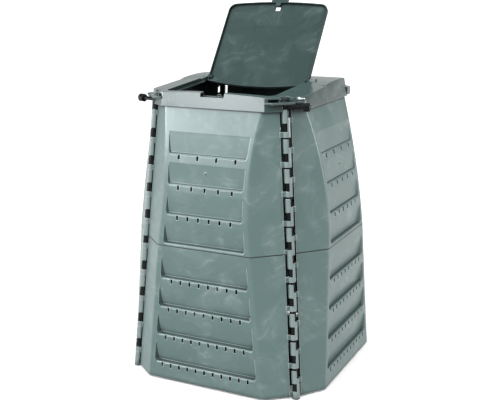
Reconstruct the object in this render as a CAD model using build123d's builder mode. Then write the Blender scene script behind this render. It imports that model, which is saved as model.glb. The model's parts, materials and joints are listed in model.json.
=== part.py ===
from build123d import *
import os
from math import cos, hypot, radians, sin

# Thermal compost bin. Millimetres, z = 0 is the ground, the front faces -Y and the right side +X.
# Four equal sides of a lower and an upper wall panel hook together at the corners round lift-out rods,
# and a two-part roof with a hinged filling lid sits on the rim.

# Wall panels: each side is a flat centre with a flank folded back to the corner seam at either end
foot_height = 9
wall = 6
lower_height = 635
upper_height = 628
base_across = 1000
parting_across = 967
rim_across = 737
base_fold = 290
parting_fold = 228
rim_fold = 240
belly = 23
waist = 26.5
fold_radius = 22
seam_base = 409.6
seam_rim = 315.4
groove_height = 2
groove_depth = 2
groove_margin = 1

# Louvres: air ledges pressed into the flat centres, each with a row of slots under its edge
louvre_margin = 22
louvre_corner = 22
ledge_drop = 7
ledge_round = 5
lip_chamfer = 4
upper_louvre_first = 406
upper_louvre_pitch = 131.5
upper_louvre_height = 98
upper_louvre_depths = (10, 11, 13, 17)
upper_slot_counts = (4, 5, 6, 0)
upper_slot_spans = (276, 263, 262, 0)
lower_louvre_first = 483
lower_louvre_pitch = 135.5
lower_louvre_height = 106
lower_louvre_depths = (18, 19, 20, 20)
lower_slot_counts = (8, 9, 10, 11)
lower_slot_spans = (324, 360, 396, 436)
slot_width = 10
slot_height = 20
slot_below_edge = 11.5
slot_cut = 13

# Corner rods and the hooks that wrap them from alternate sides
rod_radius = 13.5
rod_clearance = 0.5
rod_seat_gap = 0.3
hook_thickness = 4
lower_hook_base = 3
lower_hook_pitch = 127.5
upper_hook_base = 631.5
upper_hook_pitch = 125
hooks_per_panel = 5
hook_height = 58.5
hook_arm = 23
hook_offset = 59
edge_gap = 12.5
bar_relief = 3
bar_height = 1267
bar_radius = 9
bar_turn = 14
bar_reach = 77
knob_radius = 18
knob_length = 27
knob_socket = 16
knob_clearance = 0.1
knob_chamfer = 2
knob_dish = 2.5
knob_rim = 5

# Roof: skirted cover in a front and a rear half, with an ear over each rod
skirt_bottom = 1249
skirt_half = 384
skirt_flat = 250
skirt_corner = 327
skirt_draft = 10
plate = 6
seat_width = 26
ear_top = 1289
ear_thickness = 8
ear_flat = 290
ear_root = 10
pocket_inner = 258
pocket_outer = 320
pocket_back = 330
pocket_height = 10
rod_well = 21.5
bar_slot = 25
roof_crown = 9
rear_crest_y = 163
rear_crest_z = 1334.5
rear_radius = 1416
notch_width = 114
notch_depth = 9.5
notch_length = 60
catch_width = 22
catch_thickness = 9
catch_height = 9
catch_round = 7
catch_setback = 25
clip_slot_width = 5
clip_slot_height = 16
clip_slot_z = 1299
clip_slot_setback = 4

# Lid: a shallow pan hinged across the filling mouth, drawn open as it leans back on its stop
hinge_y = 80
hinge_z = 1330
closed_slope = 3.7
open_angle = 126
lid_half = 260
lid_length = 420
lid_bow = 14
lid_top = 6
rim_depth = 10
rim_wall = 4
lid_skin = 5
lid_corner = 38
lid_gap = 4
seat_gap = 0.5
apron_side = 25
apron_middle = 48
swing_front = 80
knuckle_radius = 9
knuckle_length = 18
pin_radius = 5
pin_clearance = 0.06
pin_length = 42
pin_engagement = 12
boss_radius = 11
pin_window_width = 20
pin_window_length = 12
mouth_half = 250
mouth_front = 27
mouth_rear = 50
tab_width = 86
tab_length = 36
tab_thickness = 8
tab_corner = 12
lug_width = 26
lug_length = 18
lug_round = 8
grip_hole_width = 26
grip_hole_length = 22
label_width = 194
label_length = 92
label_from_edge = 134
label_depth = 1.2

os.makedirs("parts", exist_ok=True)

parting_z = foot_height + lower_height
rim_z = parting_z + upper_height
seam_lean = (seam_base - seam_rim) / (rim_z - foot_height)
seam_stretch = hypot(1, seam_lean, seam_lean)
hook_inner = rod_radius + rod_clearance
hook_outer = hook_inner + hook_thickness


def flat_distance(z):
    """Distance from the bin's axis to the flat centre of a wall at height z."""
    if z <= parting_z:
        share = (z - foot_height) / lower_height
        return (base_across + (parting_across - base_across) * share) / 2
    share = (z - parting_z) / upper_height
    straight = (parting_across + (rim_across - parting_across) * share) / 2
    return straight + belly * 4 * share * (1 - share)


def fold_distance(z):
    """Half width of the flat centre at height z."""
    if z <= parting_z:
        share = (z - foot_height) / lower_height
        return base_fold + (parting_fold - base_fold) * share
    share = (z - parting_z) / upper_height
    return parting_fold + (rim_fold - parting_fold) * share - waist * 4 * share * (1 - share)


def seam_distance(z):
    """Distance of a corner rod's axis from the bin's axis along X, and along Y, at height z."""
    return seam_base - seam_lean * (z - foot_height)


# Planes square to the front wall's two corner seams, with x along the wall and y into the bin
right_seam = Plane(
    origin=(seam_base, -seam_base, foot_height), x_dir=(1, 1, 0), z_dir=(-seam_lean, seam_lean, 1)
)
left_seam = Plane(
    origin=(-seam_base, -seam_base, foot_height), x_dir=(1, -1, 0), z_dir=(seam_lean, seam_lean, 1)
)


def wall_section(z, thickness=wall, grow=0):
    """Cross-section of a front wall panel: flank, rounded fold, flat centre, fold, flank."""
    flat = flat_distance(z)
    fold = fold_distance(z)
    seam = seam_distance(z)
    flank = hypot(seam - fold, flat - seam)
    share = 1 - (rod_radius + edge_gap) / flank
    end_x = fold + (seam - fold) * share
    end_y = -flat + (flat - seam) * share
    with BuildSketch(Plane.XY.offset(z)) as section:
        with BuildLine():
            FilletPolyline((-end_x, end_y), (-fold, -flat), (fold, -flat), (end_x, end_y), radius=fold_radius)
            offset(amount=thickness, side=Side.LEFT, kind=Kind.INTERSECTION)
        make_face()
        if grow:
            offset(amount=grow, kind=Kind.INTERSECTION)
    return section.sketch


def louvre(top, bottom, depth, skin):
    """Wedge of one louvre: its air space with skin = 0, or the wall formed behind it with skin = wall."""
    top_y = skin / 2 - flat_distance(top)
    bottom_y = skin / 2 - flat_distance(bottom)
    inner_y = depth + skin - flat_distance(bottom)
    inner_z = bottom + ledge_drop
    if skin:
        outer_points = [(top_y, top)]
        ledge_points = [(inner_y, inner_z), (inner_y, inner_z - skin), (bottom_y, bottom - skin)]
    else:
        outer_points = [(top_y - wall, top), (top_y, top)]
        lip = (bottom_y + lip_chamfer, bottom + ledge_drop * lip_chamfer / depth)
        lip_bottom = bottom - lip_chamfer
        ledge_points = [(inner_y, inner_z), lip, (bottom_y, lip_bottom), (bottom_y - wall, lip_bottom)]
    with BuildPart() as wedge:
        with BuildSketch(Plane.YZ) as profile:
            Polygon(*outer_points, *ledge_points, align=None)
            if not skin:
                fillet(profile.vertices().sort_by(Axis.X)[-1], radius=ledge_round)
        extrude(amount=base_fold, both=True)
        top_half = fold_distance(top) - louvre_margin + skin
        bottom_half = fold_distance(bottom) - louvre_margin + skin
        with BuildSketch(Plane.XZ):
            with BuildLine():
                FilletPolyline(
                    (-top_half, top),
                    (-bottom_half, bottom - wall - skin),
                    (bottom_half, bottom - wall - skin),
                    (top_half, top),
                    radius=louvre_corner + skin,
                )
                Line((top_half, top), (-top_half, top))
            make_face()
        extrude(amount=base_across, mode=Mode.INTERSECT)
    return wedge.part


def add_hook(seam_plane, height, panel_side):
    """Hook round a rod: an arm across its outer half, and a taller strip on the side away from the panel."""
    with BuildSketch(seam_plane.offset(height)) as arm:
        Circle(hook_outer)
        Circle(hook_inner, mode=Mode.SUBTRACT)
        Rectangle(2 * hook_outer, hook_outer, align=(Align.CENTER, Align.MIN), mode=Mode.SUBTRACT)
        with Locations((panel_side * (hook_inner + hook_outer + edge_gap) / 2, 0)):
            Rectangle(hook_thickness + edge_gap, wall, align=(Align.CENTER, Align.MIN))
    extrude(arm.sketch, amount=hook_arm)
    with BuildSketch(seam_plane.offset(height)) as strip:
        Circle(hook_outer)
        Circle(hook_inner, mode=Mode.SUBTRACT)
        Rectangle(2 * hook_outer, hook_outer, align=(Align.CENTER, Align.MIN), mode=Mode.SUBTRACT)
        with Locations((panel_side * hook_outer / 2, 0)):
            Rectangle(hook_outer, 2 * hook_outer, mode=Mode.SUBTRACT)
    extrude(strip.sketch, amount=hook_height)


def louvre_rows(first, pitch, height, depths, skin):
    """Wedges of a panel's louvres from the top one down."""
    bottoms = [first - row * pitch for row in range(len(depths))]
    return [louvre(bottom + height, bottom, depth, skin) for bottom, depth in zip(bottoms, depths)]


def cut_slots(first, pitch, counts, spans):
    """Slots through the band under each louvre's edge."""
    for row, count in enumerate(counts):
        if count:
            slot_z = first - row * pitch - slot_below_edge
            with BuildSketch(Plane.XZ.offset(flat_distance(slot_z) + wall)) as slots:
                with Locations((0, slot_z)):
                    with GridLocations(spans[row] / (count - 1), slot_height, count, 1):
                        Rectangle(slot_width, slot_height)
            extrude(slots.sketch, amount=-slot_cut, mode=Mode.SUBTRACT)


# Front lower panel, with a groove under the parting line, the foot that its right corner stands on,
# and room for the first hook above it
lower_first = foot_height + lower_louvre_first
lower_rows = (lower_first, lower_louvre_pitch, lower_louvre_height, lower_louvre_depths)
lower_sections = [wall_section(foot_height), wall_section(parting_z)]
lower_skins = louvre_rows(*lower_rows, wall)
lower_recesses = louvre_rows(*lower_rows, 0)
parting_groove = wall_section(parting_z - groove_height, groove_depth, groove_margin)
with BuildPart() as lower_panel:
    loft(lower_sections, ruled=True)
    extrude(parting_groove, amount=2 * groove_height, mode=Mode.SUBTRACT)
    add(lower_skins)
    add(lower_recesses, mode=Mode.SUBTRACT)
    cut_slots(lower_first, lower_louvre_pitch, lower_slot_counts, lower_slot_spans)
    for step in range(hooks_per_panel):
        height = lower_hook_base + step * lower_hook_pitch
        add_hook(right_seam, height * seam_stretch, -1)
        add_hook(left_seam, (height + hook_offset) * seam_stretch, 1)
    with BuildSketch(right_seam.offset(upper_hook_base * seam_stretch)):
        Circle(hook_outer + edge_gap + wall / 2)
    extrude(amount=hook_height, mode=Mode.SUBTRACT)
    with BuildSketch(right_seam.offset(lower_hook_base * seam_stretch)):
        Circle(hook_outer)
    extrude(amount=-2 * foot_height)
    split(bisect_by=Plane.XY, keep=Keep.TOP)

# Front upper panel, bowed outwards, with its top hooks cut off under the rods' bars
upper_first = parting_z + upper_louvre_first
upper_rows = (upper_first, upper_louvre_pitch, upper_louvre_height, upper_louvre_depths)
upper_sections = [wall_section(z) for z in (parting_z, (parting_z + rim_z) / 2, rim_z)]
upper_skins = louvre_rows(*upper_rows, wall)
upper_recesses = louvre_rows(*upper_rows, 0)
with BuildPart() as upper_panel:
    loft(upper_sections)
    add(upper_skins)
    add(upper_recesses, mode=Mode.SUBTRACT)
    cut_slots(upper_first, upper_louvre_pitch, upper_slot_counts, upper_slot_spans)
    for step in range(hooks_per_panel):
        height = upper_hook_base + step * upper_hook_pitch
        add_hook(right_seam, height * seam_stretch, -1)
        add_hook(left_seam, (height + hook_offset) * seam_stretch, 1)
    for seam_plane in (right_seam, left_seam):
        with BuildSketch(seam_plane.offset((bar_height - bar_radius - bar_relief - foot_height) * seam_stretch)):
            Circle(hook_outer + bar_relief)
        extrude(amount=upper_height, mode=Mode.SUBTRACT)

# The four sides are the same panels turned a quarter at a time
for quarter, side in enumerate(("front", "right", "back", "left")):
    for level, panel in (("lower", lower_panel), ("upper", upper_panel)):
        with BuildPart() as turned_panel:
            add(panel.part.rotate(Axis.Z, 90 * quarter))
        turned_panel.part.label = f"{side}_{level}_panel"
        export_step(turned_panel.part, f"parts/{side}_{level}_panel.step")

# Front right corner rod: straight along the seam, with a bar bent out to the knob
bar_seam = seam_distance(bar_height)
bar_start = Plane(
    origin=(bar_seam, -bar_seam, bar_height), z_dir=(cos(radians(bar_turn)), sin(radians(bar_turn)), 0)
)
rod_base = lower_hook_base * seam_stretch + rod_seat_gap
with BuildPart() as corner_rod:
    with BuildSketch(right_seam.offset(rod_base)):
        Circle(rod_radius)
    extrude(amount=(bar_height + bar_radius - foot_height) * seam_stretch - rod_base)
    chamfer(corner_rod.faces().sort_by(Axis.Z)[-1].edges(), length=bar_radius / 2)
    with BuildSketch(bar_start):
        Circle(bar_radius)
    extrude(amount=bar_reach + knob_socket)

# Knob pushed onto the end of the bar, with a dished end
with BuildPart() as rod_knob:
    with BuildSketch(bar_start.offset(bar_reach)):
        Circle(knob_radius)
    extrude(amount=knob_length)
    outer_edge = rod_knob.edges().filter_by(GeomType.CIRCLE).sort_by(Axis.X)[-1]
    chamfer(outer_edge, length=knob_chamfer)
    with BuildSketch(bar_start.offset(bar_reach + knob_length)):
        Circle(knob_radius - knob_rim)
    extrude(amount=-knob_dish, mode=Mode.SUBTRACT)
    with BuildSketch(bar_start.offset(bar_reach)):
        Circle(bar_radius + knob_clearance)
    extrude(amount=knob_socket + knob_clearance, mode=Mode.SUBTRACT)

# The front handles point to the sides and the rear ones to the back, left and right mirrored
for item, piece in (("rod", corner_rod), ("knob", rod_knob)):
    front_right = piece.part
    rear_right = front_right.rotate(Axis.Z, 90)
    corners = {
        "front_right": front_right,
        "front_left": front_right.mirror(Plane.YZ),
        "rear_right": rear_right,
        "rear_left": rear_right.mirror(Plane.YZ),
    }
    for corner, placed in corners.items():
        with BuildPart() as corner_piece:
            add(placed)
        corner_piece.part.label = f"{item}_{corner}"
        export_step(corner_piece.part, f"parts/{item}_{corner}.step")

# The lid's frame when it is closed and as it stands open: origin on the hinge axis, y towards the back
closed_lid = Plane(
    origin=(0, hinge_y, hinge_z),
    x_dir=(1, 0, 0),
    z_dir=(0, -sin(radians(closed_slope)), cos(radians(closed_slope))),
)
open_lid = Plane(
    origin=(0, hinge_y, hinge_z),
    x_dir=(1, 0, 0),
    z_dir=(0, sin(radians(open_angle)), cos(radians(open_angle))),
)
rebate_half = lid_half + lid_gap
rebate_depth = rim_depth + seat_gap
roof_height = hinge_z + lid_top + 2 * roof_crown - skirt_bottom
crown_radius = (lid_half**2 / roof_crown + roof_crown) / 2
front_top = closed_lid.offset(lid_top)
well_centre = seam_distance((bar_height + hinge_z + lid_top) / 2)


def roof_plan(inset, mode=Mode.ADD):
    """Outline of the roof, parallel to the rim below it."""
    quarter_points = [
        Vector(-skirt_flat, -skirt_half),
        Vector(skirt_flat, -skirt_half),
        Vector(skirt_corner, -skirt_corner),
    ]
    points = [point.rotate(Axis.Z, 90 * quarter) for quarter in range(4) for point in quarter_points]
    with BuildSketch(Plane.XY) as plan:
        Polygon(*[(point.X, point.Y) for point in points], align=None)
        if inset:
            offset(amount=-inset, kind=Kind.INTERSECTION)
    add(plan.sketch, mode=mode)


def lid_rectangle(half_width, front, rear):
    """Rectangle across the lid's frame, from front to rear of the hinge axis."""
    with Locations((0, (rear - front) / 2)):
        Rectangle(2 * half_width, front + rear)


def lid_outline(plane, front, grow):
    """Outline of the lid grown by grow: bowed front edge, and a bowed apron behind the hinge axis."""
    side = lid_half + grow
    rear_end = apron_side + grow
    front_end = lid_bow - front - grow
    with BuildSketch(plane) as outline:
        with BuildLine():
            Line((side, front_end), (side, rear_end))
            ThreePointArc((side, rear_end), (0, apron_middle + grow), (-side, rear_end))
            Line((-side, rear_end), (-side, front_end))
            ThreePointArc((-side, front_end), (0, front_end - lid_bow), (side, front_end))
        make_face()
        fillet(outline.vertices().sort_by(Axis.Y)[:2], radius=lid_corner + grow)
    return outline.sketch


def front_roller(depth):
    """Wide roller under the front half's crown, which rises from the lid's side edges to the middle."""
    axis = front_top.offset(roof_crown - crown_radius).origin
    with BuildPart() as roller:
        with BuildSketch(Plane(origin=axis, x_dir=front_top.x_dir, z_dir=front_top.y_dir)):
            Circle(crown_radius - depth)
        extrude(amount=2 * skirt_half, both=True)
    return roller.part


def rear_roller(depth):
    """Wide roller under the rear half's arch, which rises behind the lid and falls to the back edge."""
    with BuildPart() as roller:
        with BuildSketch(Plane.YZ):
            with Locations((rear_crest_y, rear_crest_z - rear_radius)):
                Circle(rear_radius - depth)
        extrude(amount=2 * skirt_half, both=True)
    return roller.part


def roof_cover(outer_roller, inner_roller):
    """Whole roof between two rollers, with its seat on the rim, mouth, ears and rod wells."""
    rebate = lid_outline(closed_lid.offset(-rebate_depth), lid_length, lid_gap)
    frame = lid_outline(closed_lid.offset(-rebate_depth - plate), lid_length, lid_gap + plate)
    swing = lid_outline(closed_lid.offset(-rebate_depth - 2 * plate), swing_front, lid_gap)
    with BuildPart() as hollow:
        with BuildSketch(Plane.XY.offset(skirt_bottom)):
            roof_plan(plate)
        extrude(amount=roof_height, taper=skirt_draft)
        add(inner_roller, mode=Mode.INTERSECT)
        with BuildSketch(Plane.XY.offset(rim_z)):
            with GridLocations(2 * well_centre, 2 * well_centre, 2, 2):
                Circle(rod_well + plate)
        extrude(amount=roof_height, mode=Mode.SUBTRACT)
    with BuildPart() as cover:
        with BuildSketch(Plane.XY.offset(skirt_bottom)):
            roof_plan(0)
        extrude(amount=roof_height + plate, taper=skirt_draft)
        add(hollow.part, mode=Mode.SUBTRACT)
        with BuildSketch(Plane.XY.offset(rim_z)):
            roof_plan(plate / 2)
            roof_plan(seat_width, Mode.SUBTRACT)
        extrude(amount=plate)
        extrude(frame, amount=roof_height)
        add(outer_roller, mode=Mode.INTERSECT)
        with BuildSketch(Plane.XY.offset(ear_top - ear_thickness)):
            with PolarLocations(0, 4, start_angle=0):
                Polygon(
                    (skirt_flat, ear_root - skirt_half),
                    (skirt_flat, -skirt_half),
                    (ear_flat, -skirt_half),
                    (skirt_half, -ear_flat),
                    (skirt_half, -skirt_flat),
                    (skirt_half - ear_root, -skirt_flat),
                    (skirt_corner - plate, plate - skirt_corner),
                    align=None,
                )
        extrude(amount=ear_thickness)
        extrude(rebate, amount=roof_height, mode=Mode.SUBTRACT)
        extrude(swing, amount=roof_height, mode=Mode.SUBTRACT)
        with BuildSketch(closed_lid.offset(-rebate_depth - 2 * plate)):
            lid_rectangle(mouth_half, lid_length - mouth_front, -mouth_rear)
        extrude(amount=roof_height, mode=Mode.SUBTRACT)
        with BuildSketch(Plane.XY.offset(skirt_bottom)):
            with GridLocations(2 * well_centre, 2 * well_centre, 2, 2):
                Circle(rod_well)
            for x_side in (1, -1):
                for y_side, slot_angle in ((-1, bar_turn), (1, 90 + bar_turn)):
                    angle = slot_angle if x_side == 1 else 180 - slot_angle
                    with Locations(Location((x_side * well_centre, y_side * well_centre, 0), angle)):
                        Rectangle(2 * skirt_half - 2 * well_centre, bar_slot, align=(Align.MIN, Align.CENTER))
        extrude(amount=2 * roof_height, mode=Mode.SUBTRACT)
    return cover.part


# Front half of the roof, with the notch for the lid's tab, the catch tongue, clip slots and corner pockets
front_cover = roof_cover(front_roller(0), front_roller(plate))
catch_foot = closed_lid.from_local_coords((0, catch_setback - lid_length, -rebate_depth - plate))
with BuildPart() as roof_front:
    add(front_cover)
    split(bisect_by=Plane.XZ, keep=Keep.TOP)
    with BuildSketch(closed_lid.offset(lid_top - notch_depth)):
        with Locations((0, -lid_length)):
            Rectangle(notch_width, notch_length, align=(Align.CENTER, Align.MAX))
    extrude(amount=roof_height, mode=Mode.SUBTRACT)
    with BuildSketch(Plane.YZ.offset(-skirt_half)):
        with Locations((-clip_slot_setback, clip_slot_z)):
            Rectangle(clip_slot_width, clip_slot_height, align=(Align.MAX, Align.CENTER))
    extrude(amount=2 * skirt_half, mode=Mode.SUBTRACT)
    for x_side in (1, -1):
        with BuildSketch(Plane.XY.offset(ear_top)):
            with Locations((x_side * (pocket_inner + pocket_outer) / 2, -pocket_back)):
                Rectangle(pocket_outer - pocket_inner, skirt_half, align=(Align.CENTER, Align.MAX))
        extrude(amount=pocket_height, mode=Mode.SUBTRACT)
    with BuildSketch(Plane.XZ.offset(-catch_foot.Y)) as tongue:
        with Locations((0, catch_foot.Z)):
            Rectangle(catch_width, plate + catch_height, align=(Align.CENTER, Align.MIN))
        fillet(tongue.vertices().sort_by(Axis.Y)[-2:], radius=catch_round)
    extrude(amount=-catch_thickness)
roof_front.part.label = "roof_front"
export_step(roof_front.part, "parts/roof_front.step")

# Rear half of the roof, with a boss for each hinge pin and a window over it
rear_cover = roof_cover(rear_roller(0), rear_roller(plate))
with BuildPart() as roof_rear:
    add(rear_cover)
    split(bisect_by=Plane.XZ, keep=Keep.BOTTOM)
    for x_side in (1, -1):
        with BuildSketch(Plane.YZ.offset(x_side * rebate_half)):
            with Locations((hinge_y, hinge_z)):
                Circle(boss_radius)
        extrude(amount=x_side * (pin_length - pin_engagement))
        with BuildSketch(Plane.YZ.offset(x_side * lid_half)):
            with Locations((hinge_y, hinge_z)):
                Circle(pin_radius)
        extrude(amount=x_side * (pin_length - pin_engagement), mode=Mode.SUBTRACT)
        with BuildSketch(Plane.XY.offset(hinge_z)):
            with Locations((x_side * (rebate_half + plate), hinge_y)):
                Rectangle(2 * pin_window_width, pin_window_length)
        extrude(amount=roof_height, mode=Mode.SUBTRACT)
roof_rear.part.label = "roof_rear"
export_step(roof_rear.part, "parts/roof_rear.step")

# Hinge pins, held in the roof and reaching into the lid's knuckles
for x_side, side in ((1, "right"), (-1, "left")):
    with BuildPart() as hinge_pin:
        with BuildSketch(Plane.YZ.offset(x_side * (lid_half - pin_engagement))):
            with Locations((hinge_y, hinge_z)):
                Circle(pin_radius)
        extrude(amount=x_side * pin_length)
    hinge_pin.part.label = f"hinge_pin_{side}"
    export_step(hinge_pin.part, f"parts/hinge_pin_{side}.step")

# Lid: pan, hinge knuckles, grip tab, the lug that snaps over the catch, the hole behind it, and the bare
# label recess inside
lid_plan = lid_outline(open_lid.offset(-rim_depth), lid_length, 0)
pan_plan = lid_outline(open_lid.offset(-rim_depth), lid_length, -rim_wall)
lug_end = rim_wall + lug_length
with BuildPart() as lid:
    extrude(lid_plan, amount=rim_depth + lid_top)
    extrude(pan_plan, amount=rim_depth + lid_top - lid_skin, mode=Mode.SUBTRACT)
    for x_side in (1, -1):
        with BuildSketch(Plane.YZ.offset(x_side * lid_half)):
            with Locations((hinge_y, hinge_z)):
                Circle(knuckle_radius)
        extrude(amount=-x_side * knuckle_length)
    with BuildSketch(open_lid.offset(lid_top - tab_thickness)) as tab_plan:
        lid_rectangle(tab_width / 2, lid_length + tab_length, -lid_length + rim_wall)
        fillet(tab_plan.vertices().sort_by(Axis.Y)[:2], radius=tab_corner)
    extrude(amount=tab_thickness)
    with BuildSketch(open_lid.offset(-rim_depth)) as lug_plan:
        lid_rectangle(lug_width / 2, lid_length - rim_wall / 2, lug_end - lid_length)
        fillet(lug_plan.vertices().sort_by(Axis.Y)[-2:], radius=lug_round)
    extrude(amount=rim_depth + lid_top - lid_skin / 2)
    with BuildSketch(open_lid.offset(-rim_depth)):
        lid_rectangle(grip_hole_width / 2, lid_length - lug_end, lug_end + grip_hole_length - lid_length)
    extrude(amount=rim_depth + lid_top, mode=Mode.SUBTRACT)
    with BuildSketch(open_lid.offset(lid_top - lid_skin)):
        lid_rectangle(label_width / 2, lid_length - label_from_edge, label_from_edge + label_length - lid_length)
    extrude(amount=label_depth, mode=Mode.SUBTRACT)
    for x_side in (1, -1):
        with BuildSketch(Plane.YZ.offset(x_side * lid_half)):
            with Locations((hinge_y, hinge_z)):
                Circle(pin_radius + pin_clearance)
        extrude(amount=-x_side * (pin_engagement + seat_gap), mode=Mode.SUBTRACT)
lid.part.label = "lid"
export_step(lid.part, "parts/lid.step")
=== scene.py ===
# %% [markdown]
# # A compost bin of hooked wall panels, dressed for its picture
#
# The bin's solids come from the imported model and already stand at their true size, in metres. This lesson gives
# them what a drawing leaves out: the soft moulded edges, the marbled plastic, and the light of a studio.
# Everything stays in the same frame, so a piece goes where the model says it is.

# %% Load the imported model
import json
from collections import namedtuple
from math import cos, radians, sin

import bpy
from mathutils import Matrix, Vector

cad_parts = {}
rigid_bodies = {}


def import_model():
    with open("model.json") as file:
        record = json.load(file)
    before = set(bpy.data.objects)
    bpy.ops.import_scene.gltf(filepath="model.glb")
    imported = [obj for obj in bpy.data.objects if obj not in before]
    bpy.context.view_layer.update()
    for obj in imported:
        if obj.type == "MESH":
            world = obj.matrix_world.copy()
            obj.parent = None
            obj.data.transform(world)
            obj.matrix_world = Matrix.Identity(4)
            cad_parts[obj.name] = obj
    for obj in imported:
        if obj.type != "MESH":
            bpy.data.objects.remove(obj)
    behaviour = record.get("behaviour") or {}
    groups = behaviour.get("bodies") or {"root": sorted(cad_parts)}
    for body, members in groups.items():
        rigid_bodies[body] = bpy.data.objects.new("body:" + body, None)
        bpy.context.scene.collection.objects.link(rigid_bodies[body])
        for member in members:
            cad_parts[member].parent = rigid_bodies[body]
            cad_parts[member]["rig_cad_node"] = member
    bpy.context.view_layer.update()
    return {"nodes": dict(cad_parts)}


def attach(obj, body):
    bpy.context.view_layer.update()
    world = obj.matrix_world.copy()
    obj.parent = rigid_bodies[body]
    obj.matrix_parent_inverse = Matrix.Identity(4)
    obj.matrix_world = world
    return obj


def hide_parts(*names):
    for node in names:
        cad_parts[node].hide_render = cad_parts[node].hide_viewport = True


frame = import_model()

# %% [markdown]
# ## The camera
#
# The picture was taken from the right of the front, from a little above the open lid, with a longish lens. A
# camera could be aimed with a Track To constraint, but its small roll would be lost, so the three directions of
# its view are worked out and put in its matrix.

# %% Camera
eye = Vector((1.769, -3.608, 1.789))
aim = Vector((0.0566, -0.1321, 0.7962))
roll = radians(-0.4966)

forward = (aim - eye).normalized()
level = forward.cross(Vector((0, 0, 1))).normalized()
upward = level.cross(forward)
across = cos(roll) * level + sin(roll) * upward
upright = cos(roll) * upward - sin(roll) * level

bpy.ops.object.camera_add(location=eye)
camera = bpy.context.object
camera.matrix_world = Matrix.Translation(eye) @ Matrix((across, upright, -forward)).transposed().to_4x4()
camera.data.sensor_width = 36
camera.data.lens = 62.39
camera.data.clip_end = 1000
bpy.context.scene.camera = camera
print("camera at", [round(value, 3) for value in eye])

# %% [markdown]
# ## Writing shader maths
#
# A node graph is easier to read as sums than as wires. A Socket holds one output of a node, and adding or
# multiplying two of them adds the Math node that does it. Every other node comes from the one node method of a
# Graph, which takes the node's type, its settings, and what goes into its sockets. A Finish is the graph of a
# material, with short names for the readings that the bin's plastics share.


# %% Sockets
class Socket:
    """One output in a node graph, with arithmetic that adds Math nodes."""

    def __init__(self, graph, output):
        self.graph = graph
        self.output = output

    def math(self, operation, *values):
        return self.graph.node("ShaderNodeMath", {"operation": operation}, dict(enumerate(values)))

    def __add__(self, other):
        return self.math("ADD", self, other)

    def __sub__(self, other):
        return self.math("SUBTRACT", self, other)

    def __rsub__(self, other):
        return self.math("SUBTRACT", other, self)

    def __mul__(self, other):
        return self.math("MULTIPLY", self, other)

    def __abs__(self):
        return self.math("ABSOLUTE", self)

    __radd__ = __add__
    __rmul__ = __mul__


# %% Graphs
class Graph:
    """A node tree that is built up node by node."""

    def __init__(self, tree):
        self.nodes = tree.nodes
        self.links = tree.links

    def feed(self, socket, value):
        if isinstance(value, Socket):
            self.links.new(value.output, socket)
        else:
            socket.default_value = value

    def node(self, kind, settings, sockets, output=0):
        made = self.nodes.new(kind)
        for name, value in settings.items():
            setattr(made, name, value)
        for name, value in sockets.items():
            self.feed(made.inputs[name], value)
        return Socket(self, made.outputs[output])

    def vector(self, operation, *values, output=0):
        return self.node("ShaderNodeVectorMath", {"operation": operation}, dict(enumerate(values)), output)

    def dot(self, one, other):
        return self.vector("DOT_PRODUCT", one, other, output="Value")

    def smooth_step(self, value, low, high, start=0.0, stop=1.0):
        limits = {"From Min": low, "From Max": high, "To Min": start, "To Max": stop}
        return self.node(
            "ShaderNodeMapRange", {"interpolation_type": "SMOOTHSTEP"}, {"Value": value, **limits}, "Result"
        )


# %% Finishes
class Finish(Graph):
    """A procedural material."""

    def __init__(self, name):
        self.material = bpy.data.materials.new(name)
        self.material.use_nodes = True
        super().__init__(self.material.node_tree)
        self.shader = self.nodes["Principled BSDF"]

    def place(self):
        return self.node("ShaderNodeTexCoord", {}, {}, "Object")

    def noise(self, where, scale, detail, distortion=0.0):
        values = {"Vector": where, "Scale": scale, "Detail": detail, "Roughness": 0.55, "Distortion": distortion}
        return self.node("ShaderNodeTexNoise", {}, values, "Fac")

    def rounded(self, radius):
        return self.node("ShaderNodeBevel", {"samples": 8}, {"Radius": radius}, "Normal")

    def along(self, direction):
        return self.dot(self.node("ShaderNodeNewGeometry", {}, {}, "Normal"), direction)

    def inward(self):
        to_axis = self.vector("MULTIPLY", self.place(), (-1, -1, 0))
        return self.along(self.vector("NORMALIZE", to_axis))

    def height(self):
        return self.node("ShaderNodeSeparateXYZ", {}, {0: self.place()}, "Z")

    def crevices(self, reach):
        return 1 - self.node("ShaderNodeAmbientOcclusion", {"samples": 8}, {"Distance": reach}, "AO")

    def mix(self, share, one, other):
        return self.node("ShaderNodeMix", {"data_type": "RGBA"}, {0: share, 6: one, 7: other}, 2)

    def set(self, **values):
        for name, value in values.items():
            self.feed(self.shader.inputs[name.replace("_", " ")], value)
        return self.material


print("graph helpers", [helper.__name__ for helper in (Socket, Graph, Finish)])

# %% [markdown]
# ## The floor
#
# The bin stands in a white studio, so the floor runs out into a white background. It could curve up into a
# backdrop, but a plane so large that its edge is never in view does the same. It glows a little, which keeps it
# white, and it is hidden from diffuse rays, so it throws no light back on the walls. In the picture the slots are
# black, because the bin shades the ground inside it. A black card on the floor within the walls stands for that.

# %% Floor and card
card_radius = 0.46
card_lift = 0.001

bpy.ops.object.select_all(action="DESELECT")
bpy.ops.mesh.primitive_plane_add(size=400, location=(0, 0, 0))
floor = bpy.context.object
floor.name = "studio_floor"
floor.visible_diffuse = False
floor.data.materials.append(Finish("white_paper").set(
    Base_Color=(0.94, 0.94, 0.94, 1), Roughness=1.0, Specular_IOR_Level=0.0,
    Emission_Color=(1, 1, 1, 1), Emission_Strength=0.06,
))

bpy.ops.object.select_all(action="DESELECT")
bpy.ops.mesh.primitive_circle_add(vertices=64, radius=card_radius, fill_type="NGON", location=(0, 0, card_lift))
shade_card = bpy.context.object
shade_card.name = "shade_card"
shade_card.data.materials.append(Finish("black_card").set(Base_Color=(0.01, 0.01, 0.01, 1), Roughness=1.0))
print("staged", floor.name, shade_card.name)

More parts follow.
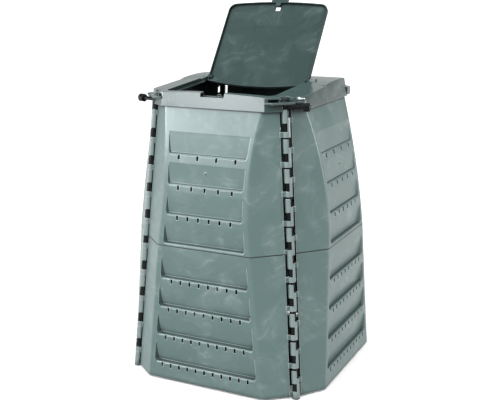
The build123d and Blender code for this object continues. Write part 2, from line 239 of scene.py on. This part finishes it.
# %% [markdown]
# ## The white room
#
# A white world fills the shadows and is what the glossy plastic mirrors. An even world would wash out the right
# wall, which is seen at a flat angle, so the room is dimmer on the right, a little dimmer on the left, and dimmer
# below the horizon. Each is a smooth step along a direction, and the three are multiplied.

# %% World
studio = bpy.data.worlds.new("white_studio")
studio.use_nodes = True
bpy.context.scene.world = studio

room = Graph(studio.node_tree)
ray = room.node("ShaderNodeTexCoord", {}, {}, "Generated")
right_side = room.smooth_step(room.dot(ray, (0.95, 0.31, 0)), -0.15, 0.85, start=1.0, stop=0.22)
left_side = room.smooth_step(room.dot(ray, (-0.98, 0.2, 0)), 0.4, 0.9, start=1.0, stop=0.75)
below = room.smooth_step(room.dot(ray, (0, 0, -1)), 0.0, 0.1, start=1.0, stop=0.55)
backdrop = room.nodes["Background"]
room.feed(backdrop.inputs["Color"], right_side * left_side * below)
room.feed(backdrop.inputs["Strength"], 0.78)
bpy.context.scene.view_settings.view_transform = "Standard"
print("world", studio.name, len(room.nodes), "nodes")

# %% [markdown]
# ## The lamps
#
# A wide sun lights the whole floor evenly from above, which an area light near the bin would not do, and a second
# one fills the right wall. Two softboxes light the bowed front. The glints are seen only in the gloss: one each for
# the folds on the right, the rims of the louvres, the sheen on the upper front, and the lips that face upwards.


# %% Lamps
cool_white = (0.94, 0.97, 1.0)


def softbox(name, place, aim_at, width, height, watts):
    """An area light at a place, turned towards a point."""
    bpy.ops.object.light_add(type="AREA", location=place)
    lamp = bpy.context.object
    lamp.name = name
    lamp.data.shape = "RECTANGLE"
    lamp.data.size = width
    lamp.data.size_y = height
    lamp.data.energy = watts
    lamp.data.color = cool_white
    lamp.rotation_mode = "QUATERNION"
    lamp.rotation_quaternion = (Vector(aim_at) - Vector(place)).to_track_quat("-Z", "Y")
    return lamp


def wide_sun(name, strength, spread, pitch, turn, swing=0):
    """A sun lamp with a wide disc, so that its shadows have no edges."""
    bpy.ops.object.light_add(type="SUN", location=(0, 0, 5))
    lamp = bpy.context.object
    lamp.name = name
    lamp.data.energy = strength
    lamp.data.angle = radians(spread)
    lamp.rotation_euler = (radians(pitch), radians(turn), radians(swing))
    return lamp


softbox("front_softbox", (-1.45, -3.4, 1.95), (0, 0, 1.2), 1.0, 0.8, 32)
softbox("high_softbox", (-0.9, -3.2, 2.9), (0, 0, 1.1), 1.4, 0.9, 30)
for glint in (
    ("fold_glint", (3.6, 1.3, 1.7), (0.3, 0, 1.0), 0.5, 1.4, 95),
    ("rim_glint", (-3.7, -1.7, 1.1), (0, -0.4, 0.7), 0.8, 1.8, 45),
    ("sheen_glint", (-2.5, -2.6, 2.15), (-0.3, -0.4, 1.15), 0.6, 0.6, 175),
    ("lip_glint", (-1.7, -1.1, 4.6), (0, -0.4, 0.7), 2.0, 1.6, 85),
):
    softbox(*glint).visible_diffuse = False
wide_sun("ceiling_light", 1.95, 90, 24, -4)
wide_sun("right_fill", 2.3, 90, 0, 62, 18).visible_glossy = False
print("lamps", [lamp.name for lamp in bpy.data.lights])

# %% [markdown]
# ## Moulded grey-green plastic
#
# The walls are moulded plastic. Where the melt flowed into the mould it left faint pale smears, curled and
# feathered like brush strokes. They could be painted, but the pattern should run on over every panel.
# So a broad noise pushes the coordinates about, and a second noise, drawn out to long fibres along one direction,
# is read there, and the fibres bend with the push. Patches let the smears come and go. A painted highlight makes the
# edges pale, painted shade darkens the crevices and the inner faces, and the mould leaves a fine grain.


# %% Plastic with smears, painted highlights on the edges and painted shade in the crevices
# Colours of the painted shade on inner faces and in crevices, and of the dark parting line.
inner_shade = (0.012, 0.016, 0.015, 1)
crevice_shade = (0.010, 0.015, 0.014, 1)
seam_shade = (0.012, 0.018, 0.017, 1)
crevice_reach = 0.045
curl = (0.55, 0.55, 0.55)
fibre_scale = (11, 11, 30)
grain_scale, grain_height = 900.0, 0.0004


def moulded_plastic(
    name, colour, smear, share, gloss, grain, radius, edge, edge_share, shine, inside=0.0, seam=0.0
):
    """Plastic with feathered flow smears, uneven gloss, painted edge highlights and shade, and a fine mould grain."""
    finish = Finish(name)
    where = finish.place()
    push = finish.node("ShaderNodeTexNoise", {}, {"Vector": where, "Scale": 3.5, "Detail": 2.0}, "Color")
    curled = finish.vector("MULTIPLY_ADD", push, curl, where)
    drawn = finish.vector("MULTIPLY", curled, fibre_scale)
    fibres = finish.smooth_step(finish.noise(drawn, 1.0, 5.0), 0.48, 0.74)
    clouds = finish.noise(where, 7.0, 5.0, 0.8)
    patches = finish.smooth_step(clouds, 0.42, 0.66)
    tint = finish.mix((0.25 + 0.75 * fibres) * patches * share, (*colour, 1), (*smear, 1))
    edges = finish.rounded(radius)
    # Painted highlight: a pale colour along the rounded edges, where they would catch the light.
    painted_edge_highlight = finish.smooth_step(1 - finish.along(edges), 0.01, 0.14)
    tint = finish.mix(edge_share * painted_edge_highlight, tint, (*edge, 1))
    # Painted shade: faces that look in towards the bin's axis are darkened.
    if inside:
        tint = finish.mix(inside * finish.smooth_step(finish.inward(), 0.1, 0.5), tint, inner_shade)
    # Painted shade: crevices found by ambient occlusion are darkened.
    deep = finish.smooth_step(finish.crevices(crevice_reach), 0.12, 0.48)
    tint = finish.mix(0.85 * deep, tint, crevice_shade)
    if seam:
        line = 1 - finish.smooth_step(abs(finish.height() - seam), 0.0018, 0.0036)
        tint = finish.mix(0.9 * line, tint, seam_shade)
    rough = gloss + 0.12 * (clouds - 0.5)
    texture = finish.noise(where, grain_scale, 2.0)
    relief = {"Strength": grain, "Distance": grain_height, "Height": texture, "Normal": edges}
    bump = finish.node("ShaderNodeBump", {}, relief)
    return finish.set(Base_Color=tint, Roughness=rough, Normal=bump, Specular_IOR_Level=shine)


# %% [markdown]
# ## The bin's finishes
#
# All the pieces are made of the same kind of plastic. Each could have a graph of its own, but one recipe with other
# numbers gives every finish. The walls have a dark line where the upper panels stand on the lower ones, and their
# hooks are glossier, with a paler colour that paints the light they catch. The ledges and the left ends of the
# louvres lie in shade, painted by a darker copy of the wall plastic, and the roof and the lid are darker. Rods, knobs
# and pins are black, and the round end of a knob is pale.

# %% Finishes of walls, roof and lid
parting_line = 0.6432
# Colours of the painted highlight along rounded edges.
edge_highlight_colour = (0.70, 0.78, 0.77)
roof_edge_highlight_colour = (0.55, 0.62, 0.61)

wall_plastic = moulded_plastic(
    "wall_plastic", (0.112, 0.177, 0.168), (0.31, 0.38, 0.375), share=0.55, gloss=0.35, grain=0.12,
    radius=0.0042, edge=edge_highlight_colour, edge_share=0.95, shine=0.36, inside=0.75, seam=parting_line,
)
# Painted highlight: the hooks' paler colour stands for the light they catch; they are also glossier.
hook_plastic_painted_lit = moulded_plastic(
    "hook_plastic_painted_lit", (0.17, 0.235, 0.225), (0.29, 0.35, 0.345), share=0.5, gloss=0.22, grain=0.08,
    radius=0.002, edge=edge_highlight_colour, edge_share=0.9, shine=0.75,
)
# Painted shade: a darker copy of the wall plastic for the ledges and the left ends of the louvres.
louvre_shade = moulded_plastic(
    "louvre_shade", (0.055, 0.089, 0.083), (0.09, 0.13, 0.125), share=0.4, gloss=0.5, grain=0.1,
    radius=0.003, edge=edge_highlight_colour, edge_share=0.75, shine=0.2,
)
roof_plastic = moulded_plastic(
    "roof_plastic", (0.042, 0.075, 0.071), (0.12, 0.17, 0.165), share=0.4, gloss=0.22, grain=0.08,
    radius=0.003, edge=roof_edge_highlight_colour, edge_share=0.35, shine=0.55, inside=0.6,
)
lid_plastic = moulded_plastic(
    "lid_plastic", (0.023, 0.047, 0.043), (0.09, 0.135, 0.13), share=0.7, gloss=0.5, grain=0.10,
    radius=0.002, edge=(0.16, 0.21, 0.20), edge_share=0.5, shine=0.08,
)
print("finishes", [finish.name for finish in (wall_plastic, hook_plastic_painted_lit, louvre_shade, roof_plastic, lid_plastic)])

# %% Black finishes and the pale knob end
black = (0.002, 0.003, 0.003)
black_smear = (0.004, 0.006, 0.006)
knob_pale = (0.17, 0.23, 0.22)

rod_plastic = moulded_plastic(
    "rod_plastic", black, black_smear, share=0.4, gloss=0.2, grain=0.05,
    radius=0.001, edge=(0.01, 0.012, 0.012), edge_share=0.2, shine=0.12,
)
pin_plastic = moulded_plastic(
    "pin_plastic", black, black_smear, share=0.4, gloss=0.45, grain=0.12,
    radius=0.001, edge=black, edge_share=0.0, shine=0.3,
)
# Painted shade: the walls of the slots are painted black for the shade inside them.
slot_shade = moulded_plastic(
    "slot_shade", black, black_smear, share=0.4, gloss=0.6, grain=0.12,
    radius=0.001, edge=black, edge_share=0.0, shine=0.1,
)
knob_face = moulded_plastic(
    "knob_face", knob_pale, (0.30, 0.36, 0.35), share=0.5, gloss=0.3, grain=0.1,
    radius=0.001, edge=knob_pale, edge_share=0.0, shine=0.4,
)
print("finishes", [finish.name for finish in (rod_plastic, pin_plastic, slot_shade, knob_face)])

# %% [markdown]
# ## Rounding the moulded edges
#
# No moulded edge is sharp, and the thin bright lines along the louvres in the picture are light caught by rounded
# edges. The edges could be rounded one by one, but there are thousands. So a copy of a solid is merged, its flat
# faces are dissolved into whole ones, and a Bevel modifier that is limited by angle rounds every real edge and
# leaves the curved walls alone.


# %% A merged copy, with whole faces
merge_distance = 0.00002
sliver_size = 0.00003
flat_angle = radians(0.5)


def merged_copy(node):
    """Copy of a solid, with its loose triangles merged."""
    bpy.ops.object.select_all(action="DESELECT")
    solid = frame["nodes"][node]
    solid.select_set(True)
    bpy.context.view_layer.objects.active = solid
    bpy.ops.object.duplicate()
    piece = bpy.context.object
    piece.name = node + "_moulded"
    del piece["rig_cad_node"]
    bpy.ops.object.mode_set(mode="EDIT")
    bpy.ops.mesh.select_all(action="SELECT")
    bpy.ops.mesh.customdata_custom_splitnormals_clear()
    bpy.ops.mesh.remove_doubles(threshold=merge_distance)
    bpy.ops.object.mode_set(mode="OBJECT")
    return piece


def dissolve_flats():
    """Join the triangles of each flat face of the active piece."""
    bpy.ops.object.mode_set(mode="EDIT")
    bpy.ops.mesh.select_all(action="SELECT")
    bpy.ops.mesh.remove_doubles(threshold=sliver_size)
    bpy.ops.mesh.dissolve_degenerate(threshold=sliver_size)
    bpy.ops.mesh.dissolve_limited(angle_limit=flat_angle)
    bpy.ops.object.mode_set(mode="OBJECT")


# %% A softened copy of a solid
real_edge_angle = radians(38)
smooth_angle = radians(35)


def round_edges(piece, width):
    """Round every real edge of a piece, and shade its flat faces flat."""
    rounding = piece.modifiers.new("rounding", "BEVEL")
    rounding.limit_method = "ANGLE"
    rounding.angle_limit = real_edge_angle
    rounding.width = width
    rounding.segments = 2
    rounding.use_clamp_overlap = True
    bpy.ops.object.modifier_apply(modifier=rounding.name)
    bpy.ops.object.shade_smooth_by_angle(angle=smooth_angle)
    flats = piece.modifiers.new("flats", "WEIGHTED_NORMAL")
    flats.keep_sharp = True
    bpy.ops.object.modifier_apply(modifier=flats.name)


def softened(node, width, finish, body, prepare=None):
    """Copy of a solid with rounded edges, which stands for it and moves with its body."""
    piece = merged_copy(node)
    if prepare:
        prepare(piece.data)
    dissolve_flats()
    round_edges(piece, width)
    piece.data.materials.clear()
    piece.data.materials.append(finish)
    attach(piece, body)
    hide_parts(node)
    print(piece.name, len(piece.data.polygons), "faces")
    return piece


# %% [markdown]
# ## Finding the louvres
#
# Each wall has a lower and an upper panel with four louvres each, and all but the lowest upper louvre have a row of
# air slots just below them. Their faces could be picked by number, but the numbers change with the mesh. So a panel
# is turned to the front in thought, and a face's place is compared with the wall's own measures: the lower panels
# are flat, and the upper ones bow outwards.

# %% Measures of the walls
foot_z, parting_z, rim_z = 0.009, 0.644, 1.272
base_half, parting_half, rim_half = 0.5, 0.4835, 0.3685
bow = 0.092
louvre_reach = 0.36

Louvres = namedtuple("Louvres", "bottoms slotted slot_reach height")
upper_bottoms = [1.050 - 0.1315 * row for row in range(4)]
lower_bottoms = [0.492 - 0.1355 * row for row in range(4)]
upper_louvres = Louvres(upper_bottoms, upper_bottoms[:3], 0.15, 0.098)
lower_louvres = Louvres(lower_bottoms, lower_bottoms, 0.226, 0.106)


def wall_face(z):
    """Distance from the bin's axis to the flat centre of a wall at height z."""
    if z <= parting_z:
        return base_half + (parting_half - base_half) * (z - foot_z) / (parting_z - foot_z)
    share = (z - parting_z) / (rim_z - parting_z)
    return parting_half + (rim_half - parting_half) * share + bow * share * (1 - share)


def in_a_row(z, bottoms, under, over):
    """Whether a height lies in one of the rows, from some way under its bottom to some way over it."""
    return any(bottom - under < z < bottom + over for bottom in bottoms)


print("wall at parting", wall_face(parting_z), "at rim", round(wall_face(rim_z), 4))

# %% [markdown]
# ## Sloping louvre ends
#
# In the picture the ends of each louvre slope: the left ones show as dark wedges, the right ones as bright rims. The
# solids have straight ends. The end faces could be cut again at a slant, but it is enough to slide the vertices at
# their foot along the wall, further where the louvre is deeper, since the louvre's floor is flat in that direction.


# %% Sloping louvre ends
end_slope = 0.85
longest_slide = 0.0125
least_depth = 0.0004
row_margin = 0.004


def slope_louvre_ends(turn, louvres):
    """Function that slides the foot of each louvre's end faces towards the louvre's middle."""

    def slope(mesh):
        to_front = Matrix.Rotation(-turn, 3, "Z")
        slides = {}
        for face in mesh.polygons:
            normal = to_front @ face.normal
            middle = to_front @ face.center
            faces_middle = abs(normal.y) < 0.02 and normal.x * middle.x < -0.001
            in_row = in_a_row(middle.z, louvres.bottoms, row_margin, louvres.height)
            if not (in_row and faces_middle and abs(middle.x) < louvre_reach):
                continue
            for index in face.vertices:
                spot = to_front @ mesh.vertices[index].co
                depth = spot.y + wall_face(spot.z)
                if depth > least_depth:
                    slides[index] = -min(end_slope * depth, longest_slide) * (1 if spot.x > 0 else -1)
        for index, slide in slides.items():
            mesh.vertices[index].co += to_front.transposed() @ Vector((slide, 0, 0))
        print(len(slides), "vertices slid")

    return slope


# %% [markdown]
# ## Slots, hooks and shaded sides
#
# A panel is one moulding, but light treats its parts differently. The slot walls are in deep shade, the smooth hooks
# catch light, and the ledges and left ends of the louvres are in shade. The panel could be cut into pieces for that.
# It is simpler to give those faces other materials that paint this shade and light, once the edges have been rounded.


# %% Materials of slots, hooks and shaded sides
WALL, SLOT, HOOK, SHADED = range(4)
rod_foot, rod_rim = 0.4096, 0.3154
hook_reach = 0.0187
slot_low, slot_foot, slot_head = 0.0232, 0.0215, 0.003
slot_depth = 0.009
ledge_margin = 0.012
shade_from, shade_to = 0.001, 0.03


def on_hook(spot):
    """Whether a spot lies on a hook, which is no further than its radius from the rod's leaning axis."""
    axis = rod_foot + (rod_rim - rod_foot) * (spot.z - foot_z) / (rim_z - foot_z)
    return Vector((abs(spot.x) - axis, abs(spot.y) - axis)).length < hook_reach


def shade_panel(panel, turn, louvres):
    """Give the slots, the hooks and the louvres' shaded sides of a panel their own materials, which paint shade and
    light.
    """
    for finish in (slot_shade, hook_plastic_painted_lit, louvre_shade):
        panel.data.materials.append(finish)
    to_front = Matrix.Rotation(-turn, 3, "Z")
    for face in panel.data.polygons:
        middle = to_front @ face.center
        normal = to_front @ face.normal
        depth = middle.y + wall_face(middle.z)
        in_slot = in_a_row(middle.z, louvres.slotted, slot_low, 0) and abs(middle.x) < louvres.slot_reach
        if in_slot and abs(normal.y) < 0.93 and depth < slot_depth:
            beside = in_a_row(middle.z, louvres.slotted, slot_foot, -slot_head)
            face.material_index = SLOT if beside or abs(normal.y) < 0.3 else WALL
        if on_hook(face.center):
            face.material_index = HOOK
        elif abs(middle.x) < louvre_reach and shade_from < depth < shade_to:
            in_row = in_a_row(middle.z, louvres.bottoms, row_margin, louvres.height)
            left_end = in_row and normal.x > 0.5 and middle.x < 0
            ledge = in_a_row(middle.z, louvres.bottoms, ledge_margin, ledge_margin) and normal.z > 0.6
            if left_end or ledge:
                face.material_index = SHADED
    print(panel.name, sum(face.material_index != WALL for face in panel.data.polygons), "faces in other finishes")


# %% [markdown]
# ## Gate marks
#
# In the second louvre of each upper panel is a small round mark, where the melt came into the mould. It could be a
# bump in the material, but it catches light on one side, so it is a real dome: a small sphere that is sunk in the
# louvre's floor and joined to the panel.


# %% Gate mark
gate_spot = Vector((-0.0023, -0.4404, 0.9771))
gate_radius = 0.006


def add_gate_mark(panel, turn):
    """Small dome where the melt came into the mould, joined to the second louvre's floor."""
    bpy.ops.object.select_all(action="DESELECT")
    spot = Matrix.Rotation(turn, 3, "Z") @ gate_spot
    bpy.ops.mesh.primitive_uv_sphere_add(segments=24, ring_count=12, radius=gate_radius, location=spot)
    dome = bpy.context.object
    bpy.ops.object.transform_apply(location=True, rotation=True, scale=True)
    bpy.ops.object.shade_smooth()
    dome.data.materials.append(wall_plastic)
    panel.select_set(True)
    bpy.context.view_layer.objects.active = panel
    bpy.ops.object.join()
    print(panel.name, "gate mark at", [round(value, 3) for value in spot])


# %% [markdown]
# ## Wall panels
#
# The bin's four sides are alike, each a quarter turn from the last. One side could be finished and copied, but each
# panel has a solid of its own to stand for, so a loop takes them one by one, the lower panel first.

# %% Wall panels
wall_rounding = 0.0015

for quarter, side in enumerate(("front", "right", "back", "left")):
    turn = radians(90 * quarter)
    for tier, louvres in (("lower", lower_louvres), ("upper", upper_louvres)):
        sloping = slope_louvre_ends(turn, louvres)
        panel = softened(f"{side}_{tier}_panel", wall_rounding, wall_plastic, "bin", sloping)
        shade_panel(panel, turn, louvres)
    add_gate_mark(panel, turn)

# %% [markdown]
# ## The roof's skirt
#
# The shelf inside the roof, on which it sits on the walls, comes through the sloping skirt by a millimetre or two.
# On the real roof the skirt is one smooth face. The shelf could be cut off along the skirt, but it is enough to draw
# its outer vertices back to the skirt's sides, which are found from the skirt's corners.

# %% Sides of the skirt
skirt_corners = [Vector(corner) for corner in ((-0.25, -0.384), (0.25, -0.384), (0.327, -0.327), (0.384, -0.25))]
skirt_sides = []
for quarter in range(4):
    for start, stop in zip(skirt_corners, skirt_corners[1:]):
        outward = Vector((stop.y - start.y, start.x - stop.x)).normalized()
        spin = Matrix.Rotation(radians(90 * quarter), 2)
        skirt_sides.append((spin @ outward, outward.dot(start)))
print(len(skirt_sides), "sides of the skirt")


# %% Smooth skirt
skirt_bottom = 1.249
skirt_draft = 0.17633
shelf_levels = (1.272, 1.278)
shelf_inset = 0.003
level_tolerance, inset_tolerance = 0.0002, 0.0004


def smooth_skirt(mesh):
    """Draw the shelf's outer vertices back to the sloping skirt."""
    moved = 0
    for vertex in mesh.vertices:
        if min(abs(vertex.co.z - level_z) for level_z in shelf_levels) > level_tolerance:
            continue
        spot = vertex.co.to_2d()
        touched = [
            side for side, reach in skirt_sides if abs(reach - side.dot(spot) - shelf_inset) < inset_tolerance
        ]
        if touched:
            inset = (vertex.co.z - skirt_bottom) * skirt_draft - shelf_inset
            pull = sum(touched, Vector((0, 0)))
            if len(touched) == 2:
                pull /= 1 + touched[0].dot(touched[1])
            vertex.co.xy -= inset * pull
            moved += 1
    print(moved, "vertices drawn back")


# %% [markdown]
# ## The roof's ears
#
# At the rear corners the real roof has ears that hang deeper beside the bars than those of the solid. Blocks could be
# added below them, but their sides would not join, so the undersides are selected by their place and extruded down.


# %% Deeper ears at the rear
ear_underside = 1.281
ear_tolerance = 0.0003
ear_inset = 0.0055
ear_drop = 0.027


def deepen_ears(mesh):
    """Smooth the skirt, and draw the undersides of the corner ears down beside the bars."""
    smooth_skirt(mesh)
    bpy.ops.object.mode_set(mode="EDIT")
    bpy.ops.mesh.select_mode(type="FACE")
    bpy.ops.mesh.select_all(action="DESELECT")
    bpy.ops.object.mode_set(mode="OBJECT")
    for face in mesh.polygons:
        spot = face.center.to_2d()
        inset = min(reach - side.dot(spot) for side, reach in skirt_sides)
        underside = abs(face.center.z - ear_underside) < ear_tolerance and face.normal.z < -0.9
        face.select = underside and inset < ear_inset
    print(sum(face.select for face in mesh.polygons), "ear faces drawn down")
    bpy.ops.object.mode_set(mode="EDIT")
    bpy.ops.mesh.extrude_region_move(TRANSFORM_OT_translate={"value": (0, 0, -ear_drop)})
    bpy.ops.mesh.select_mode(type="VERT")
    bpy.ops.object.mode_set(mode="OBJECT")


# %% [markdown]
# ## Roof and lid
#
# The roof is in two halves, and the lid is a shallow pan with a tab, a grip hole and a recess. They could be modelled
# again with finer forms, but the solids have these already, so they only need their rounded edges and their darker
# plastics. The lid rides on its own body and turns with the hinge.

# %% Roof and lid
roof_rounding = 0.0015
lid_rounding = 0.0012

softened("roof_front", roof_rounding, roof_plastic, "bin", smooth_skirt)
softened("roof_rear", roof_rounding, roof_plastic, "bin", deepen_ears)
softened("lid", lid_rounding, lid_plastic, "lid")

# %% [markdown]
# ## Rods and knobs
#
# The rods and their bars are black. The round end of each knob is pale. It could be a disc of its own, but the knob's
# solid has the dish already, so the faces within it take a second material.

# %% Rods and knobs
DISH = 1
rod_rounding = 0.001
bar_along, bar_aside = 0.9703, 0.2419
knob_along, knob_aside, bar_z = 0.41547, 0.29092, 1.267
dish_radius = 0.0132

for corner in ("front_right", "front_left", "rear_right", "rear_left"):
    softened(f"rod_{corner}", rod_rounding, rod_plastic, f"rod_{corner}")
    knob = softened(f"knob_{corner}", rod_rounding, rod_plastic, f"rod_{corner}")
    knob.data.materials.append(knob_face)
    across_x = 1 if "right" in corner else -1
    if "front" in corner:
        axis = Vector((bar_along * across_x, bar_aside, 0))
        middle = Vector((knob_along * across_x, -knob_aside, bar_z))
    else:
        axis = Vector((-bar_aside * across_x, bar_along, 0))
        middle = Vector((knob_aside * across_x, knob_along, bar_z))
    for face in knob.data.polygons:
        away = face.center - middle
        if face.normal.dot(axis) > 0.5 and (away - away.dot(axis) * axis).length < dish_radius:
            face.material_index = DISH

# %% [markdown]
# ## Hinge pins
#
# The lid turns on two short pins in the rear roof. They could be drawn again as cylinders, but hardly anything of
# them is seen, so the solids get a small rounding and the black plastic, and no more.

# %% Hinge pins
pin_rounding = 0.0005

for side in ("right", "left"):
    softened(f"hinge_pin_{side}", pin_rounding, pin_plastic, "bin")
